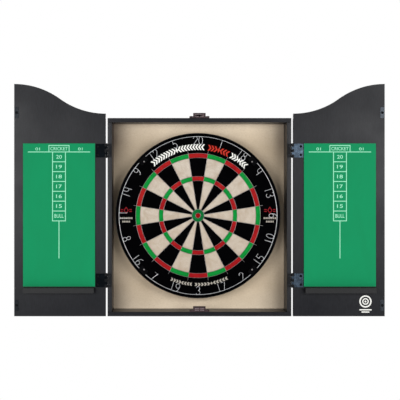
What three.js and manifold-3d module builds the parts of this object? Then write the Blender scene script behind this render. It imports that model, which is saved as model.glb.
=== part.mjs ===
// Wall-hung dart board cabinet: a shallow open case with a bristle dartboard inside and two hinged doors.
//
// Units are millimetres and +Z is up. The front faces -Y and the wall is the plane y = 0.
// The origin is the centre of the cabinet's rear face.
// The doors are drawn folded back flat, beside the cabinet, which is their open position.
// A door turns about its hinge axis by half a turn to close over the cabinet.

import * as THREE from 'three';
import { mergeVertices } from 'three/addons/utils/BufferGeometryUtils.js';
import Module from 'manifold-3d';

// ---------------------------------------------------------------- driving dimensions

const CABINET = { width: 496, height: 535, depth: 85, wall: 12, back: 9 };

// A door's top edge is an ogee of two equal arcs, from the low hinge side to the high free side.
const DOOR = { width: 247, thickness: 12, lowSide: 547, highSide: 627, arcSteps: 14 };

// The gap lies between cabinet side and door edge; closeGap lies between cabinet front and closed door.
const HINGE = {
  gap: 5, closeGap: 3, height: 37, heights: [97, 447], leaf: 1.2, cabinetLeaf: 11, doorLeaf: 27,
  notch: 5.2, barrel: 2.7, bore: 1.35, pin: 1.1, cap: 2.4, capThickness: 1, knuckles: 5, play: 0.3, sides: 16,
  screwInset: 20.5, screwPitch: 23, cabinetScrewInset: 6.2,
};

const SCREW = {
  head: 3.6, headTop: 2.5, headRim: 0.7, headHeight: 1.4,
  shank: 1.5, tip: 0.6, point: 2, length: 9, hole: 1.9, pilot: 1.6, sides: 10,
};

const SCOREBOARD = { width: 194, height: 386, thickness: 3, bottom: 80.4, hingeInset: 28.7 };

const RAIL = {
  width: 190, height: 14, depth: 22, bottom: 64,
  holeRadius: 4, holeSides: 16, holePitch: 16, groupPitch: 96, perGroup: 3,
};

const STRIKE = { width: 11, height: 30, thickness: 1.2, corner: 2.5, inset: 6.8, heights: [29.5, 549.5] };

const CATCH = {
  flangeWidth: 54, flangeHeight: 5, width: 33.5, height: 13.8, depth: 14, axisHeight: 6.8,
  magnetOffset: 6.8, magnetWidth: 11.4, poleSpan: 6.6, pole: 1.2, proud: 1.2, setBack: 0.4,
  pocketDepth: 11, play: 0.2,
};

const HANGER = {
  width: 22, height: 48, corner: 3, thickness: 2, across: 150, up: 205, play: 0.3,
  entry: 4.6, slot: 2.4, slotRise: 12, pocketDepth: 6.5, pocketPlay: 1,
};

// The board's axis lies across and up from the cabinet's middle, where its bracket is screwed on.
const BOARD = {
  across: -3, up: 3.5,
  radius: 225, rear: 17, backing: 5, thickness: 38, band: 1.2, bandGap: 0.5, sides: 64, backingInset: 3,
  footRadius: 9, footHeight: 7.4, footCircle: 180, feet: 3, footSides: 20,
};

const BRACKET = { width: 60, height: 34, plate: 1.5, standoff: 4, channel: 32, slot: 2.7, slotTop: 17 };

const CENTRE_SCREW = {
  head: 5.5, headThickness: 1.8, shank: 2.3, headGap: 0.3, thread: 4, play: 0.2, sides: 20,
};

// Scoring wires, as distances from the board's axis.
const SPIDER = { rings: [7, 17, 95, 107, 157.5, 170], wire: 1.2, gap: 0.1, reach: 179, sectors: 20 };

const NUMBER_RING = {
  radius: 215.5, wire: 1.6, digitHeight: 22, digitWidth: 21, digitPitch: 14.5, sides: 60, gap: 0.4,
};

const NUMBERS = [20, 1, 18, 4, 13, 6, 10, 15, 2, 17, 3, 19, 7, 16, 8, 11, 14, 9, 12, 5];

// From this place on, and up to the last one below, the numbers stand with their tops to the middle.
const FIRST_INWARD = 6;
const LAST_INWARD = 14;

const CLIP = {
  inner: 203.5, outer: 219.5, length: 25, corner: 3, gap: 0.2, thickness: 3.5, play: 0.4, count: 4,
};

// Cutting tools run on this far past the faces that they cut.
const OVERCUT = 1;

// ---------------------------------------------------------------- worked-out dimensions

const HALF_WIDTH = CABINET.width / 2;
const HALF_HEIGHT = CABINET.height / 2;
const FRONT = -CABINET.depth;
const AXIS_X = HALF_WIDTH + HINGE.gap / 2;
const AXIS_Y = FRONT - HINGE.closeGap / 2;
const DOOR_EDGE = HINGE.gap / 2;
const DOOR_FACE = HINGE.closeGap / 2;
const BOARD_REAR = -BOARD.rear;
const BOARD_FACE = -BOARD.rear - BOARD.thickness;
const QUARTER = Math.PI / 2;
const FULL = 2 * Math.PI;

// ---------------------------------------------------------------- materials

function finish(color, roughness, metalness) {
  return new THREE.MeshStandardMaterial({ color, roughness, metalness });
}

const MATERIALS = {
  blackPanel: finish(0x3a3b3e, 0.55, 0),
  bareBoard: finish(0xc6b49c, 0.85, 0),
  scoreGreen: finish(0x1e9460, 0.45, 0),
  blackSteel: finish(0x1b1d22, 0.35, 0.8),
  steel: finish(0xb4b6b8, 0.3, 1),
  brownPlastic: finish(0x6a5757, 0.5, 0),
  sisal: finish(0xcfc4b0, 0.95, 0),
  blackBand: finish(0x18181a, 0.5, 0.4),
  blackPlastic: finish(0x17181c, 0.45, 0),
  chipboard: finish(0x9c7b52, 0.9, 0),
  rubber: finish(0x202022, 0.9, 0),
  wire: finish(0xd4d6d8, 0.25, 1),
};

// ---------------------------------------------------------------- solids

const wasm = await Module();
wasm.setup();

function toSolid(geometry) {
  const bare = geometry.clone();
  bare.deleteAttribute('normal');
  bare.deleteAttribute('uv');
  const merged = mergeVertices(bare, 1e-4);
  return new wasm.Manifold(new wasm.Mesh({
    numProp: 3,
    vertProperties: merged.attributes.position.array,
    triVerts: Uint32Array.from(merged.index.array),
  }));
}

function toGeometry(solid) {
  const mesh = solid.getMesh();
  const geometry = new THREE.BufferGeometry();
  geometry.setAttribute('position', new THREE.BufferAttribute(mesh.vertProperties, 3));
  geometry.setIndex(new THREE.BufferAttribute(mesh.triVerts, 1));
  geometry.computeVertexNormals();
  return geometry;
}

function joined(geometries) {
  return toGeometry(geometries.map(toSolid).reduce((whole, piece) => whole.add(piece)));
}

function cut(geometry, tools) {
  return toGeometry(tools.map(toSolid).reduce((whole, tool) => whole.subtract(tool), toSolid(geometry)));
}

function named(name, material, geometry) {
  const mesh = new THREE.Mesh(geometry, MATERIALS[material]);
  mesh.name = name;
  return mesh;
}

// A box from its two limits along each axis, in either order.
function box(xs, ys, zs) {
  const size = [xs, ys, zs].map(([from, to]) => Math.abs(to - from));
  const middle = [xs, ys, zs].map(([from, to]) => (from + to) / 2);
  return new THREE.BoxGeometry(...size).translate(...middle);
}

// A flat plate drawn in X and Z, from its rear face at y = rear forwards.
function plate(shape, rear, thickness, curveSegments = 8) {
  const geometry = new THREE.ExtrudeGeometry(shape, { depth: thickness, bevelEnabled: false, curveSegments });
  return geometry.rotateX(QUARTER).translate(0, rear, 0);
}

// An upright bar whose section is drawn in X and Y.
function upright(shape, bottom, height, curveSegments = 8) {
  const geometry = new THREE.ExtrudeGeometry(shape, { depth: height, bevelEnabled: false, curveSegments });
  return geometry.translate(0, 0, bottom);
}

// A level bar along X whose section is drawn in Y and Z.
function level(shape, left, width) {
  const geometry = new THREE.ExtrudeGeometry(shape, { depth: width, bevelEnabled: false });
  return geometry.rotateX(QUARTER).rotateZ(QUARTER).translate(left, 0, 0);
}

function polygon(points) {
  return new THREE.Shape(points.map(([u, v]) => new THREE.Vector2(u, v)));
}

function circle(u, v, radius, steps) {
  const points = Array.from({ length: steps }, (_, step) => {
    const angle = FULL * step / steps;
    return [u + radius * Math.cos(angle), v + radius * Math.sin(angle)];
  });
  return polygon(points);
}

function roundedRectangle(width, height, corner) {
  const [x, z] = [width / 2, height / 2];
  const shape = new THREE.Shape();
  shape.absarc(x - corner, z - corner, corner, 0, QUARTER);
  shape.absarc(corner - x, z - corner, corner, QUARTER, 2 * QUARTER);
  shape.absarc(corner - x, corner - z, corner, 2 * QUARTER, 3 * QUARTER);
  shape.absarc(x - corner, corner - z, corner, 3 * QUARTER, 4 * QUARTER);
  return shape;
}

// A turned piece about the Y axis, from [radius, y] pairs that run from the rear to the front.
function turned(profile, sides) {
  const points = [...profile].reverse().map(([radius, y]) => new THREE.Vector2(radius, y));
  return new THREE.LatheGeometry(points, sides);
}

// A flat-sided ring about the Y axis.
function ring(inner, outer, rear, front, sides) {
  return turned([[inner, rear], [outer, rear], [outer, front], [inner, front], [inner, rear]], sides);
}

// ---------------------------------------------------------------- cabinet case

function casePanels() {
  const { wall, back } = CABINET;
  const across = [-HALF_WIDTH, HALF_WIDTH];
  const inside = [wall - HALF_HEIGHT, HALF_HEIGHT - wall];
  const group = new THREE.Group();
  group.add(named('top_panel', 'blackPanel', box(across, [FRONT, 0], [HALF_HEIGHT - wall, HALF_HEIGHT])));
  group.add(named('bottom_panel', 'blackPanel', box(across, [FRONT, 0], [-HALF_HEIGHT, wall - HALF_HEIGHT])));
  for (const [name, side] of [['left', -1], ['right', 1]]) {
    const xs = [side * (HALF_WIDTH - wall), side * HALF_WIDTH];
    group.add(named(`${name}_panel`, 'blackPanel', box(xs, [FRONT, 0], inside)));
  }
  const backBlank = box([wall - HALF_WIDTH, HALF_WIDTH - wall], [-back, 0], inside);
  group.add(named('back_panel', 'bareBoard', cut(backBlank, [-1, 1].flatMap(hangerPocket))));
  return group;
}

// The recess that takes a hanger plate flush, and the deeper one behind it for the head of a wall screw.
function hangerPocket(side) {
  const { width, height, thickness, across, up, play, entry, slotRise, pocketDepth, pocketPlay } = HANGER;
  const half = [width / 2 + play, height / 2 + play];
  const x = side * across;
  const recess = box([x - half[0], x + half[0]], [-thickness - play, OVERCUT], [up - half[1], up + half[1]]);
  const head = entry + pocketPlay;
  const rise = slotRise + head;
  const deep = box([x - head, x + head], [-pocketDepth, OVERCUT], [up - rise, up + rise]);
  return [recess, deep];
}

// A steel plate with a keyhole: a round entry below a narrow slot.
function hangerPlate(name, side) {
  const { width, height, corner, thickness, across, up, entry, slot, slotRise } = HANGER;
  const keyhole = new THREE.Path();
  const shoulder = Math.asin(slot / entry);
  keyhole.absarc(0, -slotRise / 2, entry, QUARTER + shoulder, QUARTER - shoulder + FULL);
  keyhole.absarc(0, slotRise, slot, 0, 2 * QUARTER);
  const shape = roundedRectangle(width, height, corner);
  shape.holes.push(keyhole);
  const mesh = named(name, 'steel', plate(shape, 0, thickness, 6));
  mesh.position.set(side * across, 0, up);
  return mesh;
}

// ---------------------------------------------------------------- board bracket

// A hat-shaped steel strap on the back panel, with an open slot that the board's centre screw drops into.
function boardBracket() {
  const { width, height, plate: metal, standoff, channel, slot, slotTop } = BRACKET;
  const foot = -CABINET.back;
  const crown = foot - standoff - metal;
  const [outer, wide] = [width / 2, channel / 2];
  const front = [[outer, foot], [outer, foot - metal], [wide + metal, foot - metal], [wide + metal, crown]];
  const rear = [[wide, crown + metal], [wide, foot]];
  const mirrored = (points) => points.map(([x, y]) => [-x, y]).reverse();
  const section = polygon([...front, ...mirrored(front), ...mirrored(rear), ...rear]);
  const strap = upright(section, -height / 2, height);
  const notch = new THREE.Shape();
  notch.moveTo(slot, slotTop + OVERCUT);
  notch.lineTo(-slot, slotTop + OVERCUT);
  notch.absarc(0, 0, slot, 2 * QUARTER, 4 * QUARTER);
  const bracket = cut(strap, [plate(notch, foot, standoff + metal + OVERCUT, 10)]);
  return named('board_bracket', 'steel', bracket.translate(BOARD.across, 0, BOARD.up));
}

// ---------------------------------------------------------------- magnetic catches

// A catch lies on the cabinet with its front at y = 0 and its base at z = 0 of its own group.
function magneticCatch(name, base) {
  const { flangeWidth, flangeHeight, width, height, depth, axisHeight, pocketDepth, play } = CATCH;
  const { magnetOffset, magnetWidth, poleSpan, pole, proud, setBack } = CATCH;
  const flange = box([-flangeWidth / 2, flangeWidth / 2], [0, depth], [0, flangeHeight]);
  const body = box([-width / 2, width / 2], [0, depth], [0, height]);
  const half = [magnetWidth / 2, poleSpan / 2];
  const pocket = (side) => box(
    [side * magnetOffset - half[0] - play, side * magnetOffset + half[0] + play],
    [-OVERCUT, pocketDepth],
    [axisHeight - half[1] - play, axisHeight + half[1] + play],
  );
  const group = new THREE.Group();
  group.position.set(0, FRONT, base);
  group.add(named(`${name}_housing`, 'brownPlastic', cut(joined([flange, body]), [pocket(-1), pocket(1)])));

  // The magnet lies between two steel poles that stand out at the front.
  const [low, high] = [axisHeight - half[1], axisHeight + half[1]];
  const rear = pocketDepth - play;
  const section = polygon([
    [rear, low], [-proud, low], [-proud, low + pole], [setBack, low + pole],
    [setBack, high - pole], [-proud, high - pole], [-proud, high], [rear, high],
  ]);
  for (const [place, side] of [['left', -1], ['right', 1]]) {
    const magnet = level(section, side * magnetOffset - half[0], magnetWidth);
    group.add(named(`${name}_magnet_${place}`, 'steel', magnet));
  }
  return group;
}

// ---------------------------------------------------------------- hinges

const KNUCKLE = (HINGE.height - HINGE.play * (HINGE.knuckles - 1)) / HINGE.knuckles;

// One leaf with its knuckles, notched for the other leaf's. It reaches to one side of the axis.
function hingeLeaf(reach, parity, screws) {
  const { height, leaf, notch, barrel, bore, play, knuckles, sides } = HINGE;
  const side = Math.sign(reach);
  const ys = [DOOR_FACE - leaf, DOOR_FACE];
  const wall = (barrel + bore) / 2;
  const parts = [box([side * notch, reach], ys, [0, height])];
  for (let place = parity; place < knuckles; place += 2) {
    const foot = place * (KNUCKLE + play);
    const eye = circle(0, 0, barrel, sides);
    eye.holes.push(circle(0, 0, bore, sides));
    parts.push(upright(eye, foot, KNUCKLE));
    parts.push(box([side * wall, side * (notch + leaf)], ys, [foot, foot + KNUCKLE]));
  }
  const holes = screws.map(([x, z]) => {
    const outline = circle(side * x, z, SCREW.hole, SCREW.sides);
    return plate(outline, DOOR_FACE + OVERCUT, leaf + 2 * OVERCUT);
  });
  return cut(joined(parts), holes);
}

function hingePin() {
  const { height, pin, cap, capThickness, play, sides } = HINGE;
  const [low, high] = [-play, height + play];
  const profile = [
    [0, high + capThickness], [cap, high + capThickness], [cap, high], [pin, high],
    [pin, low], [cap, low], [cap, low - capThickness], [0, low - capThickness],
  ];
  return turned(profile, sides).rotateX(QUARTER);
}

// A pan-head screw about the Y axis, with the underside of its head at y = 0.
function screw() {
  const { head, headTop, headRim, headHeight, shank, tip, point, length, sides } = SCREW;
  const profile = [
    [0, length], [tip, length], [shank, length - point], [shank, 0],
    [head, 0], [head, -headRim], [headTop, -headHeight], [0, -headHeight],
  ];
  return turned(profile, sides);
}

const DOOR_SCREWS = [-1, 1].map((end) => [
  DOOR_EDGE + HINGE.screwInset, HINGE.height / 2 + end * HINGE.screwPitch / 2,
]);

// Hinge pieces that stay on the cabinet, at one height on one side.
function cabinetHinge(name, side, height) {
  const group = new THREE.Group();
  group.position.set(side * AXIS_X, AXIS_Y, height - HINGE.height / 2 - HALF_HEIGHT);
  const reach = DOOR_EDGE + HINGE.cabinetLeaf;
  const screwX = DOOR_EDGE + HINGE.cabinetScrewInset;
  const screws = DOOR_SCREWS.map(([, z]) => [screwX, z]);
  group.add(named(`${name}_cabinet_leaf`, 'blackSteel', hingeLeaf(-side * reach, 0, screws)));
  group.add(named(`${name}_pin`, 'blackSteel', hingePin()));
  return group;
}

// Hinge pieces that swing with the door.
function doorHinge(name, side, height) {
  const group = new THREE.Group();
  group.position.set(0, 0, height - HINGE.height / 2);
  const reach = DOOR_EDGE + HINGE.doorLeaf;
  group.add(named(`${name}_door_leaf`, 'blackSteel', hingeLeaf(side * reach, 1, DOOR_SCREWS)));
  DOOR_SCREWS.forEach(([x, z], place) => {
    const mesh = named(`${name}_screw_${place + 1}`, 'blackSteel', screw());
    mesh.position.set(side * x, DOOR_FACE - HINGE.leaf, z);
    group.add(mesh);
  });
  return group;
}

// ---------------------------------------------------------------- doors

function doorOutline(side) {
  const { width, lowSide, highSide, arcSteps } = DOOR;
  const [run, rise] = [width / 2, (highSide - lowSide) / 2];
  const radius = (run * run + rise * rise) / (2 * rise);
  const sweep = Math.asin(run / radius);
  const outer = DOOR_EDGE + width;
  const outline = new THREE.Path();
  outline.moveTo(DOOR_EDGE, 0);
  outline.lineTo(DOOR_EDGE, lowSide);
  outline.absarc(DOOR_EDGE, lowSide + radius, radius, -QUARTER, sweep - QUARTER);
  outline.absarc(outer, highSide - radius, radius, QUARTER + sweep, QUARTER, true);
  outline.lineTo(outer, 0);
  return new THREE.Shape(outline.getPoints(arcSteps).map(({ x, y }) => new THREE.Vector2(side * x, y)));
}

// A door in its own group: the hinge axis is x = y = 0, and z is measured from the door's bottom edge.
function door(name, side) {
  const group = new THREE.Group();
  group.position.set(side * AXIS_X, AXIS_Y, -HALF_HEIGHT);
  const blank = plate(doorOutline(side), DOOR_FACE + DOOR.thickness, DOOR.thickness);
  const pilots = HINGE.heights.flatMap((height) => DOOR_SCREWS.map(([x, z]) => {
    const hole = circle(side * x, height - HINGE.height / 2 + z, SCREW.pilot, SCREW.sides);
    return plate(hole, DOOR_FACE + SCREW.length, SCREW.length + OVERCUT);
  }));
  group.add(named(`${name}_panel`, 'blackPanel', cut(blank, pilots)));

  const inner = DOOR_EDGE + SCOREBOARD.hingeInset;
  const middle = inner + SCOREBOARD.width / 2;
  const scoreZ = [SCOREBOARD.bottom, SCOREBOARD.bottom + SCOREBOARD.height];
  const scoreX = [side * inner, side * (inner + SCOREBOARD.width)];
  const scoreY = [DOOR_FACE - SCOREBOARD.thickness, DOOR_FACE];
  group.add(named(`${name}_scoreboard`, 'scoreGreen', box(scoreX, scoreY, scoreZ)));
  group.add(named(`${name}_dart_rail`, 'blackPanel', dartRail(side * middle)));

  STRIKE.heights.forEach((height, place) => {
    const end = place === 0 ? 'bottom' : 'top';
    const outline = roundedRectangle(STRIKE.width, STRIKE.height, STRIKE.corner);
    const mesh = named(`${name}_${end}_strike`, 'steel', plate(outline, DOOR_FACE, STRIKE.thickness, 4));
    mesh.position.set(side * (DOOR_EDGE + DOOR.width - STRIKE.inset), 0, height);
    group.add(mesh);
  });
  HINGE.heights.forEach((height, place) => {
    const end = place === 0 ? 'lower' : 'upper';
    group.add(doorHinge(`${name}_${end}_hinge`, side, height));
  });
  return group;
}

// A bar along the door with two groups of upright holes, one for each player's darts.
function dartRail(middle) {
  const { width, height, depth, bottom, holeRadius, holeSides, holePitch, groupPitch, perGroup } = RAIL;
  const [left, right] = [middle - width / 2, middle + width / 2];
  const [rear, front] = [DOOR_FACE, DOOR_FACE - depth];
  const section = polygon([[left, front], [right, front], [right, rear], [left, rear]]);
  for (const group of [-0.5, 0.5]) {
    for (let place = 0; place < perGroup; place += 1) {
      const x = middle + group * groupPitch + (place - (perGroup - 1) / 2) * holePitch;
      section.holes.push(circle(x, (rear + front) / 2, holeRadius, holeSides));
    }
  }
  return upright(section, bottom, height);
}

// ---------------------------------------------------------------- dartboard

function boardBody() {
  const { radius, backing, band, bandGap, sides, backingInset, feet } = BOARD;
  const { footRadius, footHeight, footCircle, footSides } = BOARD;
  const group = new THREE.Group();
  const sisalRear = BOARD_REAR - backing;
  const inner = radius - band - bandGap;
  const sisal = turned([[0, sisalRear], [inner, sisalRear], [inner, BOARD_FACE], [0, BOARD_FACE]], sides);
  group.add(named('sisal_face', 'sisal', sisal));
  group.add(named('steel_band', 'blackBand', ring(radius - band, radius, sisalRear, BOARD_FACE, sides)));
  const hole = CENTRE_SCREW.shank + CENTRE_SCREW.play;
  const disc = ring(hole, radius - backingInset, BOARD_REAR, sisalRear, sides);
  group.add(named('board_backing', 'chipboard', disc));
  group.add(named('centre_screw', 'steel', centreScrew()));
  for (let place = 0; place < feet; place += 1) {
    const angle = QUARTER + FULL * place / feet;
    const foot = turned([[0, footHeight], [footRadius, footHeight], [footRadius, 0], [0, 0]], footSides);
    const mesh = named(`board_foot_${place + 1}`, 'rubber', foot);
    mesh.position.set(footCircle * Math.cos(angle), BOARD_REAR, footCircle * Math.sin(angle));
    group.add(mesh);
  }
  return group;
}

// The screw in the middle of the board's back. Its head hangs behind the bracket's slot.
function centreScrew() {
  const { head, headThickness, shank, headGap, thread, sides } = CENTRE_SCREW;
  const under = -CABINET.back - BRACKET.standoff + headGap;
  const tip = BOARD_REAR - thread;
  const top = under + headThickness;
  return turned([[0, top], [head, top], [head, under], [shank, under], [shank, tip], [0, tip]], sides);
}

// ---------------------------------------------------------------- wires

function spider() {
  const { rings, wire, gap, reach, sectors } = SPIDER;
  const rear = BOARD_FACE - gap;
  const front = rear - wire;
  // The hoops are turned so that each spoke crosses them in the middle of a side.
  const hoops = rings.map((radius, place) => {
    const sides = place < 2 ? sectors : 2 * sectors;
    const turn = place < 2 ? 0 : Math.PI / sides;
    return ring(radius - wire / 2, radius + wire / 2, rear, front, sides).rotateY(turn);
  });
  const thickness = [-wire / 2, wire / 2];
  const spokes = Array.from({ length: sectors }, (_, place) => {
    const spoke = box([rings[1], reach], [rear, front], thickness);
    return spoke.rotateY(FULL * (place + 0.5) / sectors);
  });
  // One strut ties the inner bull ring to the outer one on each side.
  const struts = [-1, 1].map((side) => box([side * rings[0], side * rings[1]], [rear, front], thickness));
  return named('spider', 'wire', joined([...hoops, ...spokes, ...struts]));
}

const arc = (u, v, ru, rv, from, to, steps = 4) => ({ u, v, ru, rv, from, to, steps });
const line = (u0, v0, u1, v1) => ({ ends: [[u0, v0], [u1, v1]] });

// Wire strokes of each digit in a cell that is 1 high and about 0.5 wide, standing on v = 0.
const DIGITS = [
  [arc(0, 0.5, 0.25, 0.5, -95, 95), arc(0, 0.5, 0.25, 0.5, 85, 275)],
  [line(0, 0, 0, 1)],
  [arc(0, 0.75, 0.25, 0.25, 180, -40), line(0.2, 0.6, -0.25, 0), line(-0.25, 0, 0.25, 0)],
  [arc(0, 0.75, 0.22, 0.25, 160, -90), arc(0, 0.25, 0.25, 0.25, 90, -160)],
  [
    line(0.2, 0, 0.2, 1), line(-0.25, 1, -0.25, 0.66),
    arc(-0.01, 0.66, 0.24, 0.3, 180, 270), line(-0.01, 0.36, 0.2, 0.36),
  ],
  [line(0.2, 1, -0.2, 1), line(-0.2, 1, -0.2, 0.55), arc(-0.02, 0.3, 0.26, 0.3, 130, -150)],
  [arc(0, 0.28, 0.25, 0.28, -5, 185), arc(0, 0.28, 0.25, 0.28, 175, 365), arc(0.15, 0.3, 0.4, 0.7, 180, 85)],
  [line(-0.22, 1, 0.25, 1), line(0.25, 1, -0.08, 0)],
  [
    arc(0, 0.76, 0.2, 0.24, -95, 95), arc(0, 0.76, 0.2, 0.24, 85, 275),
    arc(0, 0.26, 0.25, 0.26, -95, 95), arc(0, 0.26, 0.25, 0.26, 85, 275),
  ],
  [arc(0, 0.72, 0.25, 0.28, -5, 185), arc(0, 0.72, 0.25, 0.28, 175, 365), arc(-0.15, 0.7, 0.4, 0.7, 0, -95)],
];

function strokePoints(stroke) {
  if (stroke.ends) {
    return stroke.ends;
  }
  const { u, v, ru, rv, from, to, steps } = stroke;
  return Array.from({ length: steps + 1 }, (_, step) => {
    const angle = THREE.MathUtils.degToRad(from + (to - from) * step / steps);
    return [u + ru * Math.cos(angle), v + rv * Math.sin(angle)];
  });
}

// A flat-sided wire along points in X and Z. Its ends run on by half its width.
function wireStroke(points, wire, rear) {
  const path = points.map(([x, z]) => new THREE.Vector2(x, z));
  const last = path.length - 1;
  const heading = (from, to) => path[to].clone().sub(path[from]).normalize();
  path.push(path[last].clone().addScaledVector(heading(last - 1, last), wire / 2));
  path[0] = path[0].clone().addScaledVector(heading(0, 1), -wire / 2);
  path.splice(last, 1);
  const edge = (side) => path.map((point, at) => {
    const along = heading(Math.max(at - 1, 0), Math.min(at + 1, last));
    return point.clone().add(new THREE.Vector2(-along.y, along.x).multiplyScalar(side * wire / 2));
  });
  return plate(new THREE.Shape([...edge(1), ...edge(-1).reverse()]), rear, wire);
}

// The ring that carries the sector numbers, with each digit bent from wire and fixed to it.
function numberRing() {
  const { radius, wire, digitHeight, digitWidth, digitPitch, sides, gap } = NUMBER_RING;
  const rear = BOARD_FACE - gap;
  const bars = NUMBERS.flatMap((number, place) => {
    const inward = place >= FIRST_INWARD && place <= LAST_INWARD;
    const turn = FULL * place / NUMBERS.length + (inward ? Math.PI : 0);
    const foot = inward ? -radius : radius - digitHeight;
    const digits = String(number).split('');
    return digits.flatMap((digit, at) => {
      const shift = (at - (digits.length - 1) / 2) * digitPitch;
      const strokes = DIGITS[Number(digit)].map(strokePoints);
      return strokes.map((points) => {
        const placed = points.map(([u, v]) => [shift + u * digitWidth, foot + v * digitHeight]);
        return wireStroke(placed, wire, rear).rotateY(turn);
      });
    });
  });
  const hoop = ring(radius - wire / 2, radius + wire / 2, rear, rear - wire, sides);
  return named('number_ring', 'wire', joined([hoop, ...bars]));
}

// A plastic holder that bridges the number ring, with a groove over its wire.
function ringClip(name, place) {
  const { inner, outer, length, corner, gap, thickness, play, count } = CLIP;
  const { radius, wire, sides } = NUMBER_RING;
  const pad = plate(roundedRectangle(outer - inner, length, corner), BOARD_FACE - gap, thickness, 4);
  pad.translate((inner + outer) / 2, 0, 0).rotateY(-FULL * (place + 0.5) / count);
  const reach = wire / 2 + play;
  const floor = BOARD_FACE - NUMBER_RING.gap - wire - play;
  const groove = ring(radius - reach, radius + reach, BOARD_FACE + OVERCUT, floor, sides);
  return named(name, 'blackPlastic', cut(pad, [groove]));
}

// ---------------------------------------------------------------- assembly

const cabinet = new THREE.Group();
cabinet.add(casePanels());
cabinet.add(hangerPlate('left_hanger_plate', -1));
cabinet.add(hangerPlate('right_hanger_plate', 1));
cabinet.add(boardBracket());
cabinet.add(magneticCatch('top_catch', HALF_HEIGHT));
cabinet.add(magneticCatch('bottom_catch', CABINET.wall - HALF_HEIGHT));

for (const [name, side] of [['left_door', -1], ['right_door', 1]]) {
  HINGE.heights.forEach((height, place) => {
    const end = place === 0 ? 'lower' : 'upper';
    cabinet.add(cabinetHinge(`${name}_${end}_hinge`, side, height));
  });
  cabinet.add(door(name, side));
}

const dartboard = boardBody();
dartboard.position.set(BOARD.across, 0, BOARD.up);
dartboard.add(spider());
dartboard.add(numberRing());
for (let place = 0; place < CLIP.count; place += 1) {
  dartboard.add(ringClip(`ring_clip_${place + 1}`, place));
}
cabinet.add(dartboard);

export default cabinet;
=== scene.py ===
"""Dart board cabinet with open doors: the looks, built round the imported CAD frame.

Everything is in metres in the frame's own axes: +Z up, the front towards -Y, the wall at y = 0.
Angles on the dartboard are degrees from +X towards +Z, as seen from the front.
"""

import math

import bmesh
import bpy
from mathutils import Matrix, Vector

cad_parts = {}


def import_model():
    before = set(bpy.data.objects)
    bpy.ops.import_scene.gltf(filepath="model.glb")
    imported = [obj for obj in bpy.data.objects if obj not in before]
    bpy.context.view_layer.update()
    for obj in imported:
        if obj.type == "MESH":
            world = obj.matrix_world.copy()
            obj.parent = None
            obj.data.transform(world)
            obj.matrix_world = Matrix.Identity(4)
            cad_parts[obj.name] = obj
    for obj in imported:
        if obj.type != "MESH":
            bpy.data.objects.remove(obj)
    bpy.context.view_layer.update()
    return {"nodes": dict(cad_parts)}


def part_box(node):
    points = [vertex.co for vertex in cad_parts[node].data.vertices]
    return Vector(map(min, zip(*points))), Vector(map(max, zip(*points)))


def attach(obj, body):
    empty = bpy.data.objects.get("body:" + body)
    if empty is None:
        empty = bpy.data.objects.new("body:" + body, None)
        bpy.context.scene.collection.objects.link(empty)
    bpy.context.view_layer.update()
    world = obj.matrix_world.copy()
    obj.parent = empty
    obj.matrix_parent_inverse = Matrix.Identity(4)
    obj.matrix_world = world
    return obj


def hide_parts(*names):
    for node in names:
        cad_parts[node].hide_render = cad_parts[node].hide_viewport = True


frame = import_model()

# ---- sizes

# The dartboard.
BULL_INNER = 0.007
BULL_OUTER = 0.017
TREBLE = (0.095, 0.107)
DOUBLE = (0.1575, 0.170)
SECTORS = 20
SECTOR = 360 / SECTORS
SPOKE_REACH = 0.179
# Where a spoke turns down into the face: how far short of its reach, and how far behind its straight part.
SPOKE_END = ((0.0022, 0), (0.0010, 0.0002), (0.0003, 0.0007))
STEPS_ROUND = 240
SISAL_EDGE = 0.0016

# Wires are round, given by their radii, and lie on the face.
SPIDER_WIRE = 0.00055
RING_WIRE = 0.00065
DIGIT_WIRE = 0.0006
RING_RADIUS = 0.2155
STAPLE_WIRE = 0.0004
STAPLE_HALF = 0.0017
STAPLE_RADII = (0.058, 0.132)

# Edges sharper than this many degrees are shown sharp; wires have their own limit.
CREASE = 35
WIRE_CREASE = 60

# The numbers, clockwise from the top; the middle ones stand with their tops inwards.
NUMBERS = (20, 1, 18, 4, 13, 6, 10, 15, 2, 17, 3, 19, 7, 16, 8, 11, 14, 9, 12, 5)
FIRST_INWARD = 6
LAST_INWARD = 14
DIGIT_HEIGHT = 0.022
DIGIT_WIDTH = 0.021
DIGIT_PITCH = 0.0145

# Print stands this far out of what it is printed on.
PRINT_LIFT = 0.0001

# The scoreboard's print, measured down from its top edge and across from its middle.
SCORE_LINE = 0.0020
SCORE_BAR_HALF = 0.084
SCORE_BAR_DROP = 0.0230
TITLE_HALF = 0.0272
TITLE_DROP = 0.0055
CELL_HALF = 0.0174
CELL_HEIGHT = 0.02655
TALLY_DROP = 0.310
CELL_WORDS = ("20", "19", "18", "17", "16", "15", "BULL")
START_OFFSET = 0.0575
START_DROP = 0.0150
START_WORD = (0.0120, 0.0078)
TITLE_WORD = (0.0465, 0.0093)
TITLE_WORD_DROP = 0.0141
NUMBER_WIDTH = 0.0156
BULL_WIDTH = 0.0245
CELL_WORD_HEIGHT = 0.0098

# The rounding of a foiled panel's edges and of a hinge's.
PANEL_EDGE = 0.0006
HINGE_EDGE = 0.00012

# ---- places taken from the frame

def half_size(name, axis=0):
    low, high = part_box(name)
    return (high[axis] - low[axis]) / 2


def middle_of(name):
    low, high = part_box(name)
    return (low + high) / 2


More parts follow.
